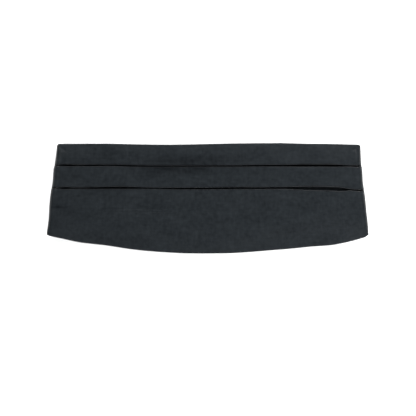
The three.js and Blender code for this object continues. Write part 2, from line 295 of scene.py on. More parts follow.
# %% [markdown]
# ## The section of the cloth
#
# Cut across, the sash is one long ribbon of satin: up the inside as the facing, round the lower edge,
# up the widest band, back under itself for the first pleat, and so on to the hem at the upper edge.
# The section is worked out as a line through the middle of the cloth, and the two faces of the cloth lie
# half its thickness to either side. A level is the height of one ply: 0 is the facing and 3 the outermost.
#
# Each stretch of the line always has the same number of points, so that all sections can be joined.

# %% Section of the cloth
POINTS = {
    "facing": 20, "wide band": 33, "over the pleat": 23, "middle band": 24, "top band": 30,
    "fold": 9, "inner fold": 6, "pleat": 5, "under the band": 7, "bend": 5, "hem": 5,
}
HEM_CLEAR = 0.3 * MM
S_RADIUS = 0.5 * MM
UNDER_LEVEL = 0.72
EDGE_LEVEL = 1.9
BAND_CURVE = 1.3
FALL_FROM = 0.1


def level_height(level):
    """The middle of a ply over the inside of the sash."""
    return SOLID_PLY / 2 + np.asarray(level, float) * PITCH


def stretch(from_y, to_y, count, level):
    """Points from one height of the sash to another; level is a number or a function of the share."""
    share = np.linspace(0, 1, count)
    levels = level(share) if callable(level) else np.full(count, float(level))
    return np.stack([from_y + (to_y - from_y) * share, level_height(levels)], axis=1)


def turn(line, towards, from_level, to_level, count):
    """Half a turn of cloth that reaches the given line, bulging towards +Y or -Y."""
    angle = np.linspace(0, math.pi, count)
    middle = level_height((from_level + to_level) / 2)
    radius = level_height(from_level) - middle
    y = line - towards * (TURN_REACH - PITCH / 2 * np.sin(angle))
    return np.stack([y, middle + radius * np.cos(angle)], axis=1)


def s_bend(from_y):
    """Beyond a gap, cloth turns up from under the pleat and over again onto the outermost level."""
    quarter = np.linspace(0, math.pi / 2, POINTS["bend"])
    low, high = level_height(UNDER_LEVEL), level_height(TOP_LEVEL)
    up = np.stack([from_y + S_RADIUS * np.sin(quarter), low + S_RADIUS * (1 - np.cos(quarter))], axis=1)
    over = [from_y + S_RADIUS * (2 - np.cos(quarter)), high - S_RADIUS * (1 - np.sin(quarter))]
    return np.concatenate([up, np.stack(over, axis=1)])


def wide_band_level(share):
    """The widest band rises from the turned lower edge onto the hidden pleat."""
    return 1 + (TOP_LEVEL - 1) * (1 - (1 - share) ** BAND_CURVE)


def top_band_level(share):
    """The top band comes down towards the upper edge, where fewer plies lie under it."""
    fall = np.clip((share - FALL_FROM) / (1 - FALL_FROM), 0, 1) ** BAND_CURVE
    return TOP_LEVEL - (TOP_LEVEL - EDGE_LEVEL) * fall


def section_line(lines):
    top, bottom = lines["top"], lines["bottom"]
    under2 = lines["pleat2"] - lines["depth2"]
    parts = [
        stretch(top - lines["hem"] - HEM_CLEAR, bottom + TURN_REACH, POINTS["facing"], 0),
        turn(bottom, -1, 0, 1, POINTS["fold"]),
        stretch(bottom + TURN_REACH, under2, POINTS["wide band"], wide_band_level),
        stretch(under2, lines["pleat2"] - TURN_REACH, POINTS["over the pleat"], TOP_LEVEL),
    ]
    for pleat, depth, gap, above, band, level in (
        ("pleat2", "depth2", "gap2", lines["pleat1"], "middle band", TOP_LEVEL),
        ("pleat1", "depth1", "gap1", top, "top band", top_band_level),
    ):
        fold, under = lines[pleat], lines[pleat] - lines[depth]
        wall = fold + lines[gap]
        parts += [
            turn(fold, 1, TOP_LEVEL, 2, POINTS["fold"]),
            stretch(fold - TURN_REACH, under + TURN_REACH, POINTS["pleat"], 2),
            turn(under, -1, 2, UNDER_LEVEL, POINTS["inner fold"]),
            stretch(under + TURN_REACH, wall, POINTS["under the band"], UNDER_LEVEL),
            s_bend(wall),
            stretch(wall + 2 * S_RADIUS, above - TURN_REACH, POINTS[band], level),
        ]
    parts.append(turn(top, 1, EDGE_LEVEL, 0, POINTS["fold"]))
    hem = stretch(top - TURN_REACH, top - lines["hem"], POINTS["hem"], 0)
    return np.concatenate([part[:-1] for part in parts] + [hem])


def length_along(points):
    """How far along a line of points each of them lies."""
    return np.concatenate([[0], np.cumsum(np.linalg.norm(np.diff(points, axis=0), axis=1))])


def ways_of(line):
    """At each point of a flat line, the way along it and the way square to it."""
    along = np.gradient(line, axis=0)
    along /= np.linalg.norm(along, axis=1, keepdims=True)
    return along, np.stack([-along[:, 1], along[:, 0]], axis=1)


EDGE_ARC = (math.pi / 4, math.pi / 2, 3 * math.pi / 4)


def ribbon_ring(line, thickness):
    """The closed outline of a ribbon along a line, with rounded cut edges, and the length along the line."""
    along, square = ways_of(line)
    half = thickness / 2
    left, right = line + square * half, line - square * half
    length = length_along(line)
    last = [line[-1] + half * (-math.cos(a) * square[-1] + math.sin(a) * along[-1]) for a in EDGE_ARC]
    first = [line[0] + half * (math.cos(a) * square[0] - math.sin(a) * along[0]) for a in EDGE_ARC]
    ring = np.concatenate([right, last, left[::-1], first])
    at = np.concatenate([length, [length[-1]] * 3, length[::-1], [0] * 3])
    return ring, at


test_ring, test_length = ribbon_ring(section_line(front_lines(0.0)), CLOTH_PLY)
print("points round the section:", len(test_ring))
print("cloth width at the middle, mm:", round(test_length.max() / MM))

# %% [markdown]
# ## Small dents and swells
#
# Pressed satin is never quite flat. The photo shows little puckers in the two upper corners, a short crease
# at the left fold, the edge of the hidden pleat pressing through the widest band, and a few soft hollows.
# Each is one row of a table: its middle, half length, half width, turn and height, in millimetres and
# degrees. They are moved into the mesh, not painted, so they catch the light from any side. A second table
# in the same form holds patches of painted shade, where the satin's colour is darkened over the cloth's
# soft dips. The gaps and their rims get painted shade too, so that a wide gap looks as deep as a narrow one.

# %% Dents and swells
DENTS = {
    "x": [-171.5, -168, -173, -175.5, 170.5, 173, 175.6, -176, -69, -50, -47, 62.5, -120, 96, 20],
    "y": [-4, -6.5, -13, -9, -5.5, -8, -3.4, -75.2, -78.4, -18, -31, -31, -96, -60, -100],
    "long": [4.5, 4.5, 6, 6, 4, 4, 2.4, 7, 40, 36, 26, 6, 40, 50, 60],
    "wide": [1.3, 1.4, 1.3, 1.3, 1.3, 1.3, 1.6, 1.4, 1.3, 6, 4, 3, 12, 10, 12],
    "turned": [-62, -48, 84, 80, 55, -70, -30, 4, -1, 0, 0, 0, 12, -4, 3],
    "height": [-0.45, -0.4, -0.4, 0.35, -0.5, -0.45, -0.5, -0.3, 0.45, -0.3, -0.24, -0.16, -0.3, -0.3, 0.3],
}
# Patches of painted shade: the satin's colour is darkened here, where the cloth dips.
PAINTED_SHADE_PATCHES = {
    "x": [-22, -34, -118, 58.5, -80, -168, -174.5],
    "y": [-19, -29, -14.5, -32.5, -113, -80, -73.9],
    "long": [46, 44, 14, 8, 24, 12, 8.5],
    "wide": [5.5, 6, 7, 4, 5, 3, 1.7],
    "turned": [0, 0, 0, 0, -6, 0, 0],
    "height": [1, 1.5, 0.55, 0.5, 0.5, 0.4, 1.8],
}
# Painted shade: how much darker the satin's colour is made down in the gaps and on their rims.
GAP_SHADE = 2.5
RIM_WIDTH = 1.1 * MM
WAVES = 9
WAVE_HEIGHT = 0.075 * MM
WAVE_LENGTHS = (28, 95)
WAVE_TURN = 0.5
WAVE_STRETCH = 0.6


def soft_waves(x, y, seed=7):
    """Long, low waves in pressed cloth, from a few sines with fixed random lengths and directions."""
    draw = np.random.default_rng(seed)
    found = np.zeros_like(x)
    for _ in range(WAVES):
        length = draw.uniform(*WAVE_LENGTHS) * MM
        turned = draw.normal(0, WAVE_TURN)
        start = draw.uniform(0, 2 * math.pi)
        across = x * math.sin(turned) * WAVE_STRETCH + y * math.cos(turned)
        found += np.sin(2 * math.pi * across / length + start)
    return WAVE_HEIGHT * found


def spots(table, x, y):
    """The sum of a table's soft oval spots at a place on the front."""
    found = np.zeros_like(x)
    for i in range(len(table["x"])):
        turned = math.radians(table["turned"][i])
        dx, dy = x - table["x"][i] * MM, y - table["y"][i] * MM
        u = (dx * math.cos(turned) + dy * math.sin(turned)) / (table["long"][i] * MM)
        v = (dy * math.cos(turned) - dx * math.sin(turned)) / (table["wide"][i] * MM)
        found += table["height"][i] * np.exp(-(u * u) - v * v)
    return found


def relief(x, y):
    """How far the outermost cloth stands off its level at a place on the front."""
    return soft_waves(x, y) + spots(DENTS, x, y) * MM


def gap_shade(lines, y):
    """How much painted shade darkens the cloth down in the two gaps and on their rims, where little light
    comes in.
    """
    found = np.zeros_like(y)
    for pleat, gap in (("pleat1", "gap1"), ("pleat2", "gap2")):
        reach = lines[gap] / 2 + RIM_WIDTH
        found += np.exp(-(((y - lines[pleat] - lines[gap] / 2) / reach) ** 4))
    return found * GAP_SHADE


across_front, down_front = np.meshgrid(np.linspace(-0.17, 0.17, 60), np.linspace(-0.11, 0, 40))
print("dents:", len(DENTS["x"]),
      " highest relief, mm:", round(float(np.abs(relief(across_front, down_front)).max()) / MM, 2))

# %% [markdown]
# ## Sweeping the section along the sash
#
# The section is repeated at about 220 places along the sash: across the front, round each side
# fold, and along both ends. Each place says how a point of the section, at height y and at a distance n
# from the inside, lies in space. Joining neighbouring sections gives one closed cloth, made in the same way
# as the CAD solid but with many more steps, so it stands in the same space.
#
# A cloth simulation would be the other way to make it. This cloth is pressed flat and held by its folds, and
# a simulation would lose the crisp folds, so its form is worked out directly.

# %% The pleated sash
CLASP_LOW, CLASP_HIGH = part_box("clasp")
SHIFT = np.array([(CLASP_LOW.x + CLASP_HIGH.x) / 2, (CLASP_LOW.y + CLASP_HIGH.y) / 2 - STRAP_CENTRE, 0.0])
BEND_STEPS = 14
END_STEPS = 27
SIDE_STRIP = 0.14
SIDE_STEPS = 22
MIDDLE_STEPS = 99
SHARP_ANGLE = math.radians(50)
PRESS_DEPTH = 1.6 * MM
PRESS_REACH = 2 * MM
PRESS_SHARE = 0.95
PRESSED_END = 0.1
LIFT_FROM = 1.1 * PITCH
LIFT_OVER = 1.6 * PITCH
OUTER_FACE = TOP_LEVEL * PITCH + (SOLID_PLY + CLOTH_PLY) / 2
MIDDLE_SAG = 0.9 * FRONT_SAG


def fold_middle(lines, across, y):
    """How far the middle of a side fold lies from the sash's middle at height y."""
    down = np.clip(-y / FRONT_HEIGHT_SIDE, 0, 1)
    side = side_at(down)
    stray = SIDE_WANDER * abs(across) * (side["left"] if across < 0 else side["right"])
    half_width = (FRONT_WIDTH_TOP * (1 - down) + FRONT_WIDTH_BOTTOM * down) / 2 + stray + SOFT_EDGE
    rise1 = lines["pleat1"] + lines["gap1"]
    under2 = lines["pleat2"] - lines["depth2"]
    near_top = np.clip((y - rise1) / (lines["top"] - rise1), 0, 1)
    near_bottom = np.clip((under2 - y) / (under2 - lines["bottom"]), 0, 1)
    return half_width - OUTER_RADIUS + (near_top + near_bottom) * 2 * PITCH


def pressed(lines, y, n, press):
    """On the side folds the iron has pressed the two edges of each gap level with the rest."""
    depth = OUTER_FACE - n
    near = sum(np.exp(-((y - lines[fold]) / PRESS_REACH) ** 4) for fold in ("pleat1", "pleat2"))
    return OUTER_FACE - depth * (1 - PRESS_SHARE * press * near * (1 - smooth(depth / PRESS_DEPTH)))


def outer_share(n):
    """1 for the outermost cloth and 0 for the facing, so that hidden plies stay clear of each other."""
    return np.clip((n - LIFT_FROM) / LIFT_OVER, 0, 1)


def front_place(across):
    lines = front_lines(across)

    def place(y, n):
        x = across * fold_middle(lines, across, y)
        lift = relief(x, y) * outer_share(n)
        return np.stack([x, y, FRONT_BASE - lines["sag"] + n + lift], axis=1)

    return lines, place


def bend_place(side, angle):
    lines = fold_lines(side, angle)
    press = round_share(angle)

    def place(y, n):
        middle = fold_middle(lines, side, y)
        outer_x = side * (middle + OUTER_RADIUS * math.sin(angle))
        n = pressed(lines, y, n + relief(outer_x, y) * outer_share(n) * (1 - press), press)
        x = side * (middle + (BEND_RADIUS + n) * math.sin(angle))
        return np.stack([x, y, BEND_HEIGHT + (BEND_RADIUS + n) * math.cos(angle)], axis=1)

    return lines, place


END_REACH = float(fold_middle(front_lines(1.0), 0, np.array(STRAP_CENTRE)))
END_EDGE = END_REACH - END_LENGTH


def end_place(side, along):
    lines = end_lines(side, float(end_at(along)["narrow"]))
    square = smooth(np.array(along))
    press = 1 - smooth(np.array(along / PRESSED_END))

    def place(y, n):
        n = pressed(lines, y, n, press)
        reach = fold_middle(lines, side, y) * (1 - square) + END_REACH * square
        return np.stack([side * (reach - along * END_LENGTH), y, STACK - n], axis=1)

    return lines, place


def front_steps():
    """Places across the front, closer together near the side folds, where the small puckers are."""
    near = 1 - np.linspace(0, SIDE_STRIP, SIDE_STEPS)
    middle = np.linspace(SIDE_STRIP - 1, 1 - SIDE_STRIP, MIDDLE_STEPS)
    return np.concatenate([-near[:-1], middle, near[:-1][::-1]])


def sash_places():
    """All places along the sash, from the left end's edge to the right end's."""
    ends = np.linspace(0, 1, END_STEPS)
    angles = math.pi * np.arange(1, BEND_STEPS) / BEND_STEPS
    return (
        [end_place(-1, a) for a in ends[::-1]]
        + [bend_place(-1, a) for a in angles[::-1]]
        + [front_place(a) for a in front_steps()]
        + [bend_place(1, a) for a in angles]
        + [end_place(1, a) for a in ends]
    )


def swept_mesh(name, rings, along, around, first, second):
    """A closed mesh through rings of equal size. along and around become its UV map, in metres.

    Each end is closed by a ladder across its ring: the rungs start between the points first and second
    and step away from each other till they meet.
    """
    count, size = rings.shape[:2]
    quads, uvs = [], []
    around_next = np.roll(around, -1)
    around_next[-1] = around[-1]
    for r in range(count - 1):
        for i in range(size):
            j = (i + 1) % size
            quads.append((r * size + i, r * size + j, (r + 1) * size + j, (r + 1) * size + i))
            uvs += [(along[r], around[i]), (along[r], around_next[i]),
                    (along[r + 1], around_next[i]), (along[r + 1], around[i])]
    for r, flip in ((0, True), (count - 1, False)):
        for rung in range(size // 2):
            a, c = (first + rung) % size, (second - rung) % size
            b, d = (a + 1) % size, (c - 1) % size
            loop = list(dict.fromkeys([a, b, d, c]))
            if len(loop) < 3:
                continue
            loop = loop[::-1] if flip else loop
            quads.append(tuple(r * size + i for i in loop))
            uvs += [(along[r], around[i]) for i in loop]
    mesh = bpy.data.meshes.new(name)
    mesh.from_pydata(rings.reshape(-1, 3).tolist(), [], quads)
    layer = mesh.uv_layers.new(name="cloth")
    layer.data.foreach_set("uv", np.array(uvs, np.float32).ravel())
    mesh.shade_smooth()
    mesh.set_sharp_from_angle(angle=SHARP_ANGLE)
    mesh.update()
    return new_object(name, mesh)


def vertex_places(mesh):
    """The mesh's points, one in each row."""
    at = np.zeros(len(mesh.vertices) * 3)
    mesh.vertices.foreach_get("co", at)
    return at.reshape(-1, 3)


def facing_out(piece):
    """The enclosed volume in cm3, which is positive if the faces point outwards, and the triangles."""
    mesh = piece.data
    mesh.calc_loop_triangles()
    corners = np.zeros(len(mesh.loop_triangles) * 3, np.int32)
    mesh.loop_triangles.foreach_get("vertices", corners)
    a, b, c = (vertex_places(mesh)[corners[k::3]] for k in range(3))
    return round(float((a * np.cross(b, c)).sum() / 6) * 1e6, 2), len(corners) // 3


def make_sash():
    """The whole sash. Its UV map runs round the section as at the middle of the front."""
    rings, shades, around = [], [], None
    for lines, place in sash_places():
        ring, at = ribbon_ring(section_line(lines), CLOTH_PLY)
        shades.append(gap_shade(lines, ring[:, 0]))
        rings.append(place(ring[:, 0], ring[:, 1]) + SHIFT)
        around = at if around is None or lines["sag"] > MIDDLE_SAG else around
    rings = np.array(rings)
    along = length_along(rings.mean(axis=1))
    hem_point = rings.shape[1] - 2
    piece = swept_mesh("satin_sash", rings, along, around, hem_point, hem_point)
    x, y, z = (rings.reshape(-1, 3) - SHIFT).T
    # Painted shade, stored on the points for the satin's colour: the patches on the front, the gaps and their
    # rims.
    painted_shade_levels = np.where(z > FRONT_BASE, spots(PAINTED_SHADE_PATCHES, x, y), 0) + np.concatenate(shades)
    painted_shade = piece.data.attributes.new("painted_shade", "FLOAT", "POINT")
    painted_shade.data.foreach_set("value", painted_shade_levels.astype(np.float32))
    return piece, along[-1]


sash, sash_length = make_sash()
print("sash: volume, cm3, and triangles:", facing_out(sash), " length, mm:", round(sash_length / MM))

# %% [markdown]
# ## The straps
#
# Each strap is ribbed webbing, about 32 mm wide. It is sewn to the inside of the sash's end, comes down to
# the surface, passes under the clasp's outer bar, up through the window, and back over the bar onto itself.
# So its path is a line in the X-Z plane, swept sideways. The crosswise ribs are in the mesh: the webbing
# gets thicker and thinner along its length as it is swept.

# %% Straps
STRAP_WIDTH = 32 * MM
STRAP_PLY = 1.2 * MM
WEBBING_PLY = 1.08 * MM
STRAP_LAP = 20 * MM
STRAP_TURN_BACK = 16 * MM
STRAP_DROP_RUN = 15 * MM
STRAP_CLEAR = 0.3 * MM
CLASP_THICKNESS = 2 * MM
CLASP_BAR = 4 * MM
CLASP_BRIDGE = 6 * MM
CLASP_WINDOW = 5 * MM
RIB_PITCH = 1.3 * MM
RIB_DEPTH = 0.16
STRAP_STEP = 0.26 * MM
CURVE_POINTS = 25
FLAT_POINTS = 30


def strap_path():
    """The middle of the right strap's webbing, in X and Z, from its lap on the sash to its tail."""
    on_floor = STRAP_PLY / 2
    on_end = STACK + STRAP_CLEAR + STRAP_PLY / 2
    turn_radius = (CLASP_THICKNESS + STRAP_PLY) / 2 + STRAP_CLEAR
    turn_middle = CLASP_BRIDGE / 2 + CLASP_WINDOW
    bar_end = turn_middle + CLASP_BAR
    share = np.linspace(0, 1, CURVE_POINTS)
    folded = on_floor + STRAP_PLY + STRAP_CLEAR
    angle = -math.pi / 2 - math.pi * share
    down = (END_EDGE - STRAP_DROP_RUN * share, on_end + (on_floor - on_end) * smooth(share))
    around = (turn_middle + turn_radius * np.cos(angle), on_floor + turn_radius * (1 + np.sin(angle)))
    over_bar = on_floor + 2 * turn_radius
    back = (bar_end + 2 * turn_radius * share, over_bar + (folded - over_bar) * smooth(share))
    return np.concatenate([
        [[END_EDGE + STRAP_LAP, on_end]],
        np.stack(down, axis=1),
        np.stack(around, axis=1),
        np.stack(back, axis=1),
        [[bar_end + 2 * turn_radius + STRAP_TURN_BACK, folded]],
    ])


def even_steps(line, step):
    """The same line with points at even steps along it."""
    length = length_along(line)
    at = np.linspace(0, length[-1], max(int(length[-1] / step), 2))
    return np.stack([np.interp(at, length, line[:, k]) for k in range(2)], axis=1), at


def strap_profile():
    """Half the webbing's width and thickness round its section, as shares, with rounded selvedges."""
    flat = np.linspace(-1, 1, FLAT_POINTS)
    edge = np.array([0.5, 0.0, -0.5]) * math.pi / 2
    rim = STRAP_PLY / STRAP_WIDTH
    across = np.concatenate([flat * (1 - rim), 1 - rim + rim * np.cos(edge)])
    up = np.concatenate([np.ones(FLAT_POINTS), np.sin(edge)])
    return np.concatenate([across, -across]), np.concatenate([up, -up])


def make_strap(name, side):
    """One strap's webbing, with its ribs, swept sideways from its path."""
    line, at = even_steps(strap_path(), STRAP_STEP)
    _, square = ways_of(line)
    ribs = 1 - RIB_DEPTH * np.abs(np.cos(math.pi * at / RIB_PITCH)) ** 3
    across, up = strap_profile()
    rings = []
    for point, normal, rib in zip(line, square, ribs):
        height = up * WEBBING_PLY / 2 * rib
        x = point[0] + normal[0] * height
        z = point[1] + normal[1] * height
        y = STRAP_CENTRE + across * STRAP_WIDTH / 2
        rings.append(np.stack([side * x, y, z], axis=1) + SHIFT)
    rings = np.array(rings)
    if side > 0:
        rings = rings[::-1]
        at = at[-1] - at[::-1]
    return swept_mesh(name, rings, at, across * STRAP_WIDTH / 2, 0, len(across) - 1), float(at[-1])


strap_left, strap_length = make_strap("webbing_strap_left", -1)
strap_right, _ = make_strap("webbing_strap_right", 1)
print("strap length, mm:", round(strap_length / MM),
      " volumes, cm3, and triangles:", [facing_out(piece) for piece in (strap_left, strap_right)])

# %% [markdown]
# ## The clasp
#
# The clasp is out of sight in the photo, so it stays plain: one stamped plate with two windows, enamelled
# black. A flat curve with two holes in it gives the plate, and the curve's own bevel rounds every edge,
# inside the windows too.

# %% Clasp
CLASP_CORNER = 3 * MM
WINDOW_CORNER = 0.8 * MM
CLASP_EDGE = 0.45 * MM
CORNER_STEPS = 7
EDGE_STEPS = 3
CLASP_SHARP_ANGLE = math.radians(40)
TOO_SMALL = 1e-6
CLASP_BASE = STRAP_PLY + STRAP_CLEAR


def rounded_outline(left, right, low, high, corner):
    """A rectangle with round corners, as a list of points."""
    points = []
    for x, y, start in ((right, low, -0.5), (right, high, 0), (left, high, 0.5), (left, low, 1)):
        for a in np.linspace(start * math.pi, (start + 0.5) * math.pi, CORNER_STEPS):
            inset_x = corner if x == left else -corner
            inset_y = corner if y == low else -corner
            points.append((x + inset_x + corner * math.cos(a), y + inset_y + corner * math.sin(a)))
    return points


def make_clasp():
    """The plate, from a filled flat curve with a bevel, joined up into one closed mesh."""
    window_half = STRAP_WIDTH / 2 + 2 * STRAP_CLEAR
    half_width = CLASP_BRIDGE / 2 + CLASP_WINDOW + CLASP_BAR
    half_height = window_half + CLASP_BAR
    outlines = [rounded_outline(-half_width, half_width, -half_height, half_height, CLASP_CORNER)]
    for side in (-1, 1):
        left, right = sorted((side * CLASP_BRIDGE / 2, side * (CLASP_BRIDGE / 2 + CLASP_WINDOW)))
        outlines.append(rounded_outline(left, right, -window_half, window_half, WINDOW_CORNER))
    curve = bpy.data.curves.new("clasp_outline", "CURVE")
    curve.dimensions = "2D"
    curve.fill_mode = "BOTH"
    curve.extrude = CLASP_THICKNESS / 2 - CLASP_EDGE
    curve.bevel_depth = CLASP_EDGE
    curve.bevel_resolution = EDGE_STEPS
    curve.offset = -CLASP_EDGE
    for outline in outlines:
        spline = curve.splines.new("POLY")
        spline.points.add(len(outline) - 1)
        spline.use_cyclic_u = True
        for point, (x, y) in zip(spline.points, outline):
            point.co = (x, y, 0, 1)
    shape = new_object("clasp_outline", curve)
    bpy.context.view_layer.update()
    mesh = bpy.data.meshes.new_from_object(shape.evaluated_get(bpy.context.evaluated_depsgraph_get()))
    bpy.data.objects.remove(shape)
    middle = [SHIFT[0], SHIFT[1] + STRAP_CENTRE, CLASP_BASE + CLASP_THICKNESS / 2]
    mesh.vertices.foreach_set("co", (vertex_places(mesh) + middle).ravel())
    shell = bmesh.new()
    shell.from_mesh(mesh)
    bmesh.ops.remove_doubles(shell, verts=shell.verts, dist=TOO_SMALL)
    bmesh.ops.dissolve_degenerate(shell, edges=shell.edges, dist=TOO_SMALL)
    bmesh.ops.recalc_face_normals(shell, faces=shell.faces)
    shell.to_mesh(mesh)
    shell.free()
    mesh.shade_smooth()
    mesh.set_sharp_from_angle(angle=CLASP_SHARP_ANGLE)
    return new_object("clasp_plate", mesh)


clasp = make_clasp()
print("clasp volume, cm3, and triangles:", facing_out(clasp))

# %% [markdown]
# ## Shader maths
#
# A finish is a small piece of arithmetic on positions and noises. Wire wraps one socket of the node tree,
# so that the arithmetic can be written as Python expressions: adding two wires adds a Math node.
# Every other kind of node comes from one method, Finish.node.

# %% Shader maths
class Wire:
    """A socket of a finish's node tree that + - * / and ** work on."""

    def __init__(self, finish, socket):
        self.finish, self.socket = finish, socket

    def maths(self, operation, first, second=0.0):
        return self.finish.node("ShaderNodeMath", {"operation": operation}, {0: first, 1: second})

    def __add__(self, other):
        return self.maths("ADD", self, other)

    def __sub__(self, other):
        return self.maths("SUBTRACT", self, other)

    def __rsub__(self, other):
        return self.maths("SUBTRACT", other, self)

    def __mul__(self, other):
        return self.maths("MULTIPLY", self, other)

    def __truediv__(self, other):
        return self.maths("DIVIDE", self, other)

    def __pow__(self, other):
        return self.maths("POWER", self, other)

    __radd__ = __add__
    __rmul__ = __mul__


class Finish:
    """A material with one Principled shader, and the nodes that feed it."""

    def __init__(self, name):
        self.material = bpy.data.materials.new(name)
        self.material.use_nodes = True
        self.tree = self.material.node_tree
        self.shader = self.tree.nodes["Principled BSDF"]

    def node(self, kind, settings=None, sockets=None, output=0):
        """Adds a node: its settings first, then a value or a wire for each of its named sockets."""
        made = self.tree.nodes.new(kind)
        for name, value in (settings or {}).items():
            setattr(made, name, value)
        for name, value in (sockets or {}).items():
            self.join(made.inputs[name], value)
        return Wire(self, made.outputs[output])

    def join(self, socket, value):
        if isinstance(value, Wire):
            self.tree.links.new(value.socket, socket)
        else:
            socket.default_value = value

    def set(self, **values):
        for name, value in values.items():
            self.join(self.shader.inputs[name.replace("_", " ")], value)

    def repeated(self, value):
        """A number that runs from -1 to 1 over and over, once for each unit of the value."""
        return value.maths("FRACT", value) * 2 - 1

    def parts(self, vector):
        """The three numbers of a vector."""
        return [self.node("ShaderNodeSeparateXYZ", None, {"Vector": vector}, output=k) for k in range(3)]

    def cloth_place(self):
        """Where a point lies on its cloth, in metres along and across it, from the UV map."""
        return self.parts(self.node("ShaderNodeUVMap", {"uv_map": "cloth"}))[:2]

    def object_place(self):
        return self.node("ShaderNodeTexCoord", output=3)

    def noise(self, vector, detail=2.0, seed=0.0, rough=0.5):
        """Noise from 0 to 1 round a half, about one swell for each unit of the vector."""
        return self.node("ShaderNodeTexNoise", {"noise_dimensions": "4D"}, {
            "Vector": vector, "W": seed, "Scale": 1.0, "Detail": detail, "Roughness": rough})

    def cloth_noise(self, u, v, u_size, v_size, seed, detail=2.0):
        """Noise on cloth, with swells of about u_size by v_size millimetres."""
        place = self.node("ShaderNodeCombineXYZ", None, {"X": u / (u_size * MM), "Y": v / (v_size * MM)})
        return self.noise(place, detail, seed)

    def sized(self, place, size):
        """A vector whose unit is one size each way."""
        return self.node("ShaderNodeVectorMath", {"operation": "SCALE"}, {0: place, "Scale": 1 / size})

    def tinted(self, share, dark, light):
        """A colour between two, by a share."""
        sockets = {"Factor": share, 6: dark, 7: light}
        return self.node("ShaderNodeMix", {"data_type": "RGBA"}, sockets, output=2)

    def bump(self, height, distance, strength, under=None):
        sockets = {"Height": height, "Distance": distance, "Strength": strength}
        if under is not None:
            sockets["Normal"] = under
        return self.node("ShaderNodeBump", None, sockets)


print("wires know + - * / and **")

# %% [markdown]
# ## Black satin
#
# Satin shines because each warp thread floats over four weft threads before it dips under one, and the dips
# of neighbouring threads are staggered, so nothing breaks the surface in rows. Here the threads run along
# the sash. The pattern is worked out from the cloth's own UV map, which is in metres and follows every fold.
#
# On top of it come what the eye sees from further away: threads that are a little thicker or thinner than
# their neighbours, in both directions, and soft patches where the pressing has left the cloth duller. Painted
# shade, read from the sash's points, darkens the colour down in the gaps, on their rims and where the cloth
# dips.

# %% Black satin
THREAD_PITCH = 0.26 * MM
FLOAT_LENGTH = 1.3 * MM
FLOAT_STAGGER = 0.4
SATIN_DARK = (0.0009, 0.0014, 0.0020, 1)
SATIN_LIGHT = (0.0115, 0.0141, 0.0163, 1)


def satin():
    finish = Finish("black_satin")
    u, v = finish.cloth_place()

    row = v / THREAD_PITCH
    across = finish.repeated(row)
    crown = 1 - across * across
    dip = finish.repeated(u / FLOAT_LENGTH + row.maths("FLOOR", row) * FLOAT_STAGGER)
    weave = crown * (1 - (dip * dip) ** 3)

    long_slubs = finish.cloth_noise(u, v, 11, 2, seed=1.0)
    cross_slubs = finish.cloth_noise(u, v, 2, 12, seed=2.0)
    fine_grain = finish.cloth_noise(u, v, 4.4, 4.6, seed=3.0)
    patches = finish.cloth_noise(u, v, 30, 15, seed=4.0, detail=3.0)

    grain = (long_slubs + cross_slubs + fine_grain * 2) / 4
    # Painted shade from the sash's points darkens the satin's colour in the gaps, on their rims and in a few
    # patches.
    painted_shade = finish.node("ShaderNodeAttribute", {"attribute_name": "painted_shade"}, output=2)
    tone = (grain - 0.5) * 1.3 + (patches - 0.5) * 0.4 + (weave - 0.6) * 0.12 - painted_shade * 0.2 + 0.5
    finish.set(
        Base_Color=finish.tinted(tone, SATIN_DARK, SATIN_LIGHT),
        Roughness=(patches - 0.5) * 0.06 + (grain - 0.5) * 0.2 + 0.36,
        Specular_IOR_Level=0.13,
        Normal=finish.bump(
            weave, 0.05 * MM, 0.35,
            under=finish.bump(long_slubs + cross_slubs, 0.09 * MM, 0.6)),
    )
    return finish.material


SATIN = satin()
print("satin nodes:", len(SATIN.node_tree.nodes))

# %% [markdown]
# ## Webbing, enamel and thread
#
# The webbing's ribs are already in its mesh, so its finish only adds the fine warp threads that run along
# it, and a dusty, matt black. The clasp is dipped in black enamel, which is thinner on its edges: there the
# surface faces between up and sideways, and a speckle of bare steel shows. The thread is two strands
# twisted together, which a slanted stripe in the bump gives.

# %% Webbing, enamel and thread
WARP_PITCH = 0.42 * MM
TWIST_PITCH = 0.35 * MM
WEBBING_DARK, WEBBING_LIGHT = (0.006, 0.0062, 0.0068, 1), (0.024, 0.0245, 0.026, 1)
ENAMEL_BLACK, BARE_STEEL = (0.011, 0.011, 0.012, 1), (0.2, 0.19, 0.18, 1)
THREAD_DARK, THREAD_LIGHT = (0.008, 0.009, 0.01, 1), (0.03, 0.032, 0.034, 1)


def webbing():
    finish = Finish("ribbed_webbing")
    u, v = finish.cloth_place()
    across = finish.repeated(v / WARP_PITCH)
    strand = 1 - across * across
    fuzz = finish.cloth_noise(u, v, 0.5, 0.35, seed=5.0, detail=3.0)
    wear = finish.cloth_noise(u, v, 14, 6, seed=6.0)
    tone = strand * 0.3 + (fuzz - 0.5) * 0.9 + (wear - 0.5) * 0.6 + 0.4
    finish.set(
        Base_Color=finish.tinted(tone, WEBBING_DARK, WEBBING_LIGHT),
        Roughness=(wear - 0.5) * 0.2 + 0.74,
        Specular_IOR_Level=0.25,
        Normal=finish.bump(strand * 0.7 + fuzz, 0.12 * MM, 0.7),
    )
    return finish.material


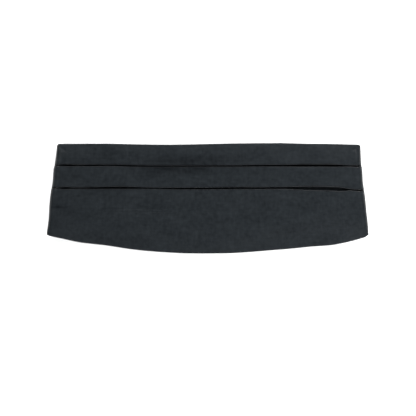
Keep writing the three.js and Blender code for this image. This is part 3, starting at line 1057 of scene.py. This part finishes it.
def enamel():
    finish = Finish("black_enamel")
    place = finish.object_place()
    up = finish.parts(finish.node("ShaderNodeTexCoord", output=1))[2]
    edge = up * up * (1 - up * up) * 4
    speckle = finish.noise(finish.sized(place, 1.1 * MM), detail=4.0, seed=7.0, rough=0.7)
    cloud = finish.noise(finish.sized(place, 6 * MM), seed=8.0)
    bare = finish.node("ShaderNodeMapRange", {"clamp": True}, {
        "Value": edge * speckle, "From Min": 0.56, "From Max": 0.66})
    finish.set(
        Base_Color=finish.tinted(bare, ENAMEL_BLACK, BARE_STEEL),
        Metallic=bare * 0.8,
        Roughness=(cloud - 0.5) * 0.2 + (speckle - 0.5) * 0.12 + 0.34,
        Normal=finish.bump(cloud * 0.6 + speckle * 0.4, 0.08 * MM, 0.4),
    )
    return finish.material


def thread():
    finish = Finish("sewing_thread")
    x, y, z = finish.parts(finish.object_place())
    twist = finish.repeated((x + y + z * 2) / TWIST_PITCH)
    strand = 1 - twist * twist
    finish.set(
        Base_Color=finish.tinted(strand, THREAD_DARK, THREAD_LIGHT),
        Roughness=strand * -0.1 + 0.55,
        Normal=finish.bump(strand, 0.06 * MM, 0.8),
    )
    return finish.material


WEBBING, ENAMEL, THREAD = webbing(), enamel(), thread()
for piece, finish in ((sash, SATIN), (strap_left, WEBBING), (strap_right, WEBBING), (clasp, ENAMEL)):
    piece.data.materials.clear()
    piece.data.materials.append(finish)
print("finishes:", [m.name for m in (SATIN, WEBBING, ENAMEL, THREAD)])

# %% [markdown]
# ## Stitches
#
# Three seams hold the real thing together: rows through each end and the strap's lap on it, a box on the
# strap's turned-back tail, and a row of slip stitches that holds the hem inside. A machine lays the same
# stitch over and over along a line, so Geometry Nodes do the same: the line is cut into even steps,
# one small thread goes on each step, and it is turned to follow the line.
#
# The lines are found on the finished cloth itself, by looking at it from one side and taking the first
# point that is met, so that the stitches sit in its surface wherever it rises or falls.

# %% Stitches
STITCH_LENGTH = 2.5 * MM
STITCH_GAP = 0.8 * MM
THREAD_RADIUS = 0.11 * MM
THREAD_BALL = {"Segments": 8, "Rings": 6, "Radius": 0.5}
SHORTEST, LONGEST = 0.92, 1.06


def stitch_tree():
    """Geometry Nodes that cut lines into even steps and lay one small thread on each of them."""
    tree = bpy.data.node_groups.new("stitches_along_lines", "GeometryNodeTree")
    face = tree.interface
    face.new_socket("Geometry", in_out="INPUT", socket_type="NodeSocketGeometry")
    sizes = {"Stitch length": STITCH_LENGTH, "Gap": STITCH_GAP, "Thread radius": THREAD_RADIUS}
    for name, default in sizes.items():
        face.new_socket(name, in_out="INPUT", socket_type="NodeSocketFloat").default_value = default
    face.new_socket("Seed", in_out="INPUT", socket_type="NodeSocketInt").default_value = 3
    face.new_socket("Thread", in_out="INPUT", socket_type="NodeSocketMaterial")
    face.new_socket("Geometry", in_out="OUTPUT", socket_type="NodeSocketGeometry")
    given = tree.nodes.new("NodeGroupInput").outputs

    def output(kind, inputs=None, socket=0, **settings):
        """Adds a node with its settings and inputs, and gives one of its outputs."""
        made = tree.nodes.new(kind)
        for name, value in settings.items():
            setattr(made, name, value)
        for name, value in (inputs or {}).items():
            if isinstance(value, bpy.types.NodeSocket):
                tree.links.new(value, made.inputs[name])
            else:
                made.inputs[name].default_value = value
        return made.outputs[socket]

    line = output("GeometryNodeMeshToCurve", {"Mesh": given["Geometry"]})
    step = output("ShaderNodeMath", {0: given["Stitch length"], 1: given["Gap"]}, operation="ADD")
    even = output("GeometryNodeResampleCurve", {"Curve": line, "Length": step}, mode="LENGTH")
    ball = output("GeometryNodeMeshUVSphere", THREAD_BALL)
    across = output("ShaderNodeMath", {0: given["Thread radius"], 1: 2.0}, operation="MULTIPLY")
    size = output("ShaderNodeCombineXYZ", {"X": across, "Y": across, "Z": given["Stitch length"]})
    strand = output("GeometryNodeTransform", {"Geometry": ball, "Scale": size})
    along = output("GeometryNodeInputTangent")
    turned = output("FunctionNodeAlignRotationToVector", {"Vector": along}, axis="Z")
    uneven = output("FunctionNodeRandomValue", {2: SHORTEST, 3: LONGEST, "Seed": given["Seed"]},
                    socket=1, data_type="FLOAT")
    laid = output("GeometryNodeInstanceOnPoints", {
        "Points": even, "Instance": strand, "Rotation": turned, "Scale": uneven})
    real = output("GeometryNodeRealizeInstances", {"Geometry": laid})
    coloured = output("GeometryNodeSetMaterial", {"Geometry": real, "Material": given["Thread"]})
    smooth_shaded = output("GeometryNodeSetShadeSmooth", {"Geometry": coloured})
    tree.links.new(smooth_shaded, tree.nodes.new("NodeGroupOutput").inputs[0])
    return tree


STITCH_TREE = stitch_tree()


def sew(name, lines, **sizes):
    """Stitches along lines of points, as one closed-thread mesh."""
    points, edges = [], []
    for line in lines:
        first = len(points)
        points += [tuple(float(c) for c in p) for p in line]
        edges += [(first + i, first + i + 1) for i in range(len(line) - 1)]
    guide_mesh = bpy.data.meshes.new(name + "_guide")
    guide_mesh.from_pydata(points, edges, [])
    guide = new_object(name + "_guide", guide_mesh)
    modifier = guide.modifiers.new("stitches", "NODES")
    modifier.node_group = STITCH_TREE
    wanted = {"Thread": THREAD, **{key.replace("_", " "): value for key, value in sizes.items()}}
    for item in STITCH_TREE.interface.items_tree:
        if item.in_out == "INPUT" and item.name in wanted:
            modifier[item.identifier] = wanted[item.name]
    bpy.context.view_layer.update()
    mesh = bpy.data.meshes.new_from_object(guide.evaluated_get(bpy.context.evaluated_depsgraph_get()))
    bpy.data.objects.remove(guide)
    piece = new_object(name, mesh)
    print(name + ": triangles", facing_out(piece)[1])
    return piece


def met_from(piece, start, direction):
    """The first point of a piece's surface from a start point in a direction."""
    hit, place, _, _ = piece.ray_cast(start, direction)
    if not hit:
        raise ValueError(f"nothing of {piece.name} lies beyond {tuple(start)}")
    return np.array(place)


def line_on(piece, from_xy, to_xy, z, direction, count, sink):
    """A line on a piece's surface, seen from height z, sunk into it by a small depth."""
    share = np.linspace(0, 1, count)[:, None]
    flat = np.array(from_xy) * (1 - share) + np.array(to_xy) * share
    way = (0, 0, direction)
    return [met_from(piece, (x, y, z), way) + [0, 0, sink * direction] for x, y in flat]


def frame_xy(x, y):
    """A place of the sash's own lines in the frame."""
    return (x + SHIFT[0], y + SHIFT[1])


print("thread radius, mm:", THREAD_RADIUS / MM)

# %% [markdown]
# The seams are listed here by where they run. Three levels are used to look at the cloth from: below the
# whole sash, inside the loop just over the straps, and inside the loop close under the front.

# %% Seams
BELOW = -5 * MM
OVER_TAIL = 4 * MM
INSIDE = 8.4 * MM
SEAM_INSET = 3 * MM
SINK = 0.055 * MM
SEAM_POINTS = 91
BOX_POINTS = 30
SPAN = 5
SIDE_MARGIN = 2.5 * MM
HEM_INSET = 0.15 * MM
HEM_REACH, HEM_POINTS = 0.96, 160
END_HEM_REACH, END_HEM_POINTS = (0.06, 0.97), 60
HEM_STITCH = {"Stitch_length": 2.0 * MM, "Gap": 1.6 * MM}
STRAP_STITCH = {"Stitch_length": 2.2 * MM}
LAP_MARGIN = 2 * MM
TAIL_MARGINS = (1.2 * MM, 1.5 * MM)
TAIL_START = CLASP_BRIDGE / 2 + CLASP_WINDOW + CLASP_BAR + CLASP_THICKNESS + STRAP_PLY + 2 * STRAP_CLEAR


def rows_across_end(side):
    """Two rows through the end and the strap behind it. The thread spans the gaps between the pleats."""
    half = END_WIDTH / 2 - SIDE_MARGIN
    rows = []
    for inset in (SEAM_INSET, STRAP_LAP - SEAM_INSET):
        x = side * (END_EDGE + inset)
        row = np.array(line_on(sash, frame_xy(x, STRAP_CENTRE - half), frame_xy(x, STRAP_CENTRE + half),
                               BELOW, 1, SEAM_POINTS, SINK))
        low = np.array([row[max(i - SPAN, 0):i + SPAN + 1, 2].min() for i in range(SEAM_POINTS)])
        even = np.ones(2 * SPAN + 1) / (2 * SPAN + 1)
        rise = np.convolve(np.pad(low, SPAN, mode="edge"), even, mode="valid")
        rows.append(np.column_stack([row[:, :2], rise]))
    return rows


def box_on_strap(strap, side, near, far, z, direction):
    """A box of stitches with a cross in it."""
    half = STRAP_WIDTH / 2 - SIDE_MARGIN
    corners = [(near, -half), (far, -half), (far, half), (near, half)]
    runs = list(zip(corners, corners[1:] + corners[:1])) + [corners[::2], corners[1::2]]
    return [
        line_on(strap, frame_xy(side * x0, STRAP_CENTRE + y0), frame_xy(side * x1, STRAP_CENTRE + y1),
                z, direction, BOX_POINTS, SINK)
        for (x0, y0), (x1, y1) in runs
    ]


def hem_rows():
    """The slip stitches that close the hem, inside the front and inside both ends."""
    front = []
    for across in np.linspace(-HEM_REACH, HEM_REACH, HEM_POINTS):
        lines = front_lines(across)
        y = lines["top"] - lines["hem"] - HEM_INSET
        x = across * float(fold_middle(lines, across, np.array(y)))
        front.append(met_from(sash, (*frame_xy(x, y), INSIDE), (0, 0, 1)) + [0, 0, SINK])
    rows = [front]
    for side in (-1, 1):
        row = []
        for along in np.linspace(*END_HEM_REACH, END_HEM_POINTS):
            lines, place = end_place(side, along)
            y = lines["top"] - lines["hem"] - HEM_INSET
            x = place(np.array([y]), np.array([0.0]))[0, 0]
            row.append(met_from(sash, (*frame_xy(x, y), INSIDE), (0, 0, -1)) - [0, 0, SINK])
        rows.append(row)
    return rows


end_stitches = sew("end_seam_stitches", rows_across_end(-1) + rows_across_end(1))
hem_stitches = sew("hem_slip_stitches", hem_rows(), **HEM_STITCH)
strap_stitches = {}
for name, strap, side in (("left", strap_left, -1), ("right", strap_right, 1)):
    lap = (END_EDGE + SEAM_INSET, END_EDGE + STRAP_LAP - LAP_MARGIN)
    tail = (TAIL_START + TAIL_MARGINS[0], TAIL_START + STRAP_TURN_BACK - TAIL_MARGINS[1])
    strap_stitches[name] = sew(
        "strap_box_stitches_" + name,
        box_on_strap(strap, side, *lap, INSIDE, -1)
        + box_on_strap(strap, side, *tail, OVER_TAIL, -1)
        + box_on_strap(strap, side, *tail, BELOW, 1),
        **STRAP_STITCH)

# %% [markdown]
# ## Floor and light
#
# The photo's ground is pure white. A large pale floor under plenty of light comes out white too, and even
# the soft shadow beside the sash stays nearly white. The light is four soft panels, one off each corner of
# the sash. Those on the right are small and hang near, as the photo's right end is a little lighter; those
# on the left are large and far, so that no grey shadow stands beside the left side fold. None hangs straight
# above: there it would shine back from the flat satin and turn it grey.

# %% Floor and light
FLOOR_SIDE = 9.0
FLOOR_MOTTLE = 0.3
FLOOR_DARK, FLOOR_LIGHT = (0.78, 0.78, 0.785, 1), (0.82, 0.82, 0.82, 1)
ROOM_LIGHT = 0.1


def pale_floor():
    half = FLOOR_SIDE / 2
    mesh = bpy.data.meshes.new("floor")
    corners = [(-half, -half, 0), (half, -half, 0), (half, half, 0), (-half, half, 0)]
    mesh.from_pydata(corners, [], [(0, 1, 2, 3)])
    finish = Finish("pale_floor")
    mottle = finish.noise(finish.sized(finish.object_place(), FLOOR_MOTTLE))
    finish.set(
        Base_Color=finish.tinted(mottle, FLOOR_DARK, FLOOR_LIGHT),
        Roughness=0.9, Specular_IOR_Level=0.1)
    mesh.materials.append(finish.material)
    return new_object("floor", mesh)


PANELS = {
    "name": ["panel_upper_right", "panel_lower_right", "panel_upper_left", "panel_lower_left"],
    "azimuth": [56, -54, 122, -120],
    "height": [36, 36, 36, 36],
    "distance": [0.95, 0.92, 3.6, 3.6],
    "watts": [13.6, 11.5, 166, 119],
    "width": [0.6, 0.6, 1.8, 1.8],
    "tall": [0.26, 0.26, 0.9, 0.9],
}


def hang_panel(name, azimuth, height, distance, watts, width, tall):
    """A soft panel that faces the sash: azimuth and height in degrees, distance and size in metres."""
    light = bpy.data.lights.new(name, "AREA")
    light.shape, light.size, light.size_y, light.energy = "RECTANGLE", width, tall, watts
    panel = new_object(name, light)
    a, h = math.radians(azimuth), math.radians(height)
    away = (math.cos(a) * math.cos(h), math.sin(a) * math.cos(h), math.sin(h))
    panel.location = [distance * c for c in away]
    panel.rotation_euler = (math.pi / 2 - h, 0, a + math.pi / 2)


floor = pale_floor()
for row in zip(*PANELS.values()):
    hang_panel(*row)
world = bpy.data.worlds.new("studio")
world.use_nodes = True
background = world.node_tree.nodes["Background"]
background.inputs["Color"].default_value = (1, 1, 1, 1)
background.inputs["Strength"].default_value = ROOM_LIGHT
bpy.context.scene.world = world
bpy.context.scene.view_settings.view_transform = "Standard"
print("light panels:", len(PANELS["name"]))

# %% [markdown]
# ## Attaching the pieces
#
# The sash, the straps and the clasp each ride on the body root, and the CAD solid that each stands for is
# hidden. The stitches ride on root too. The sash is 345 mm across before it is pleated, and it narrows
# towards both ends.

for piece, node, slot in (
    (sash, "pleated_sash", "satin"),
    (strap_left, "strap_left", "strap_webbing"),
    (strap_right, "strap_right", "strap_webbing"),
    (clasp, "clasp", "clasp_metal"),
):
    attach(piece, "root")
    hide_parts(node)
for piece, slot in (
    (end_stitches, "satin"),
    (hem_stitches, "satin"),
    (strap_stitches["left"], "strap_webbing"),
    (strap_stitches["right"], "strap_webbing"),
):
    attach(piece, "root")

bpy.context.view_layer.update()
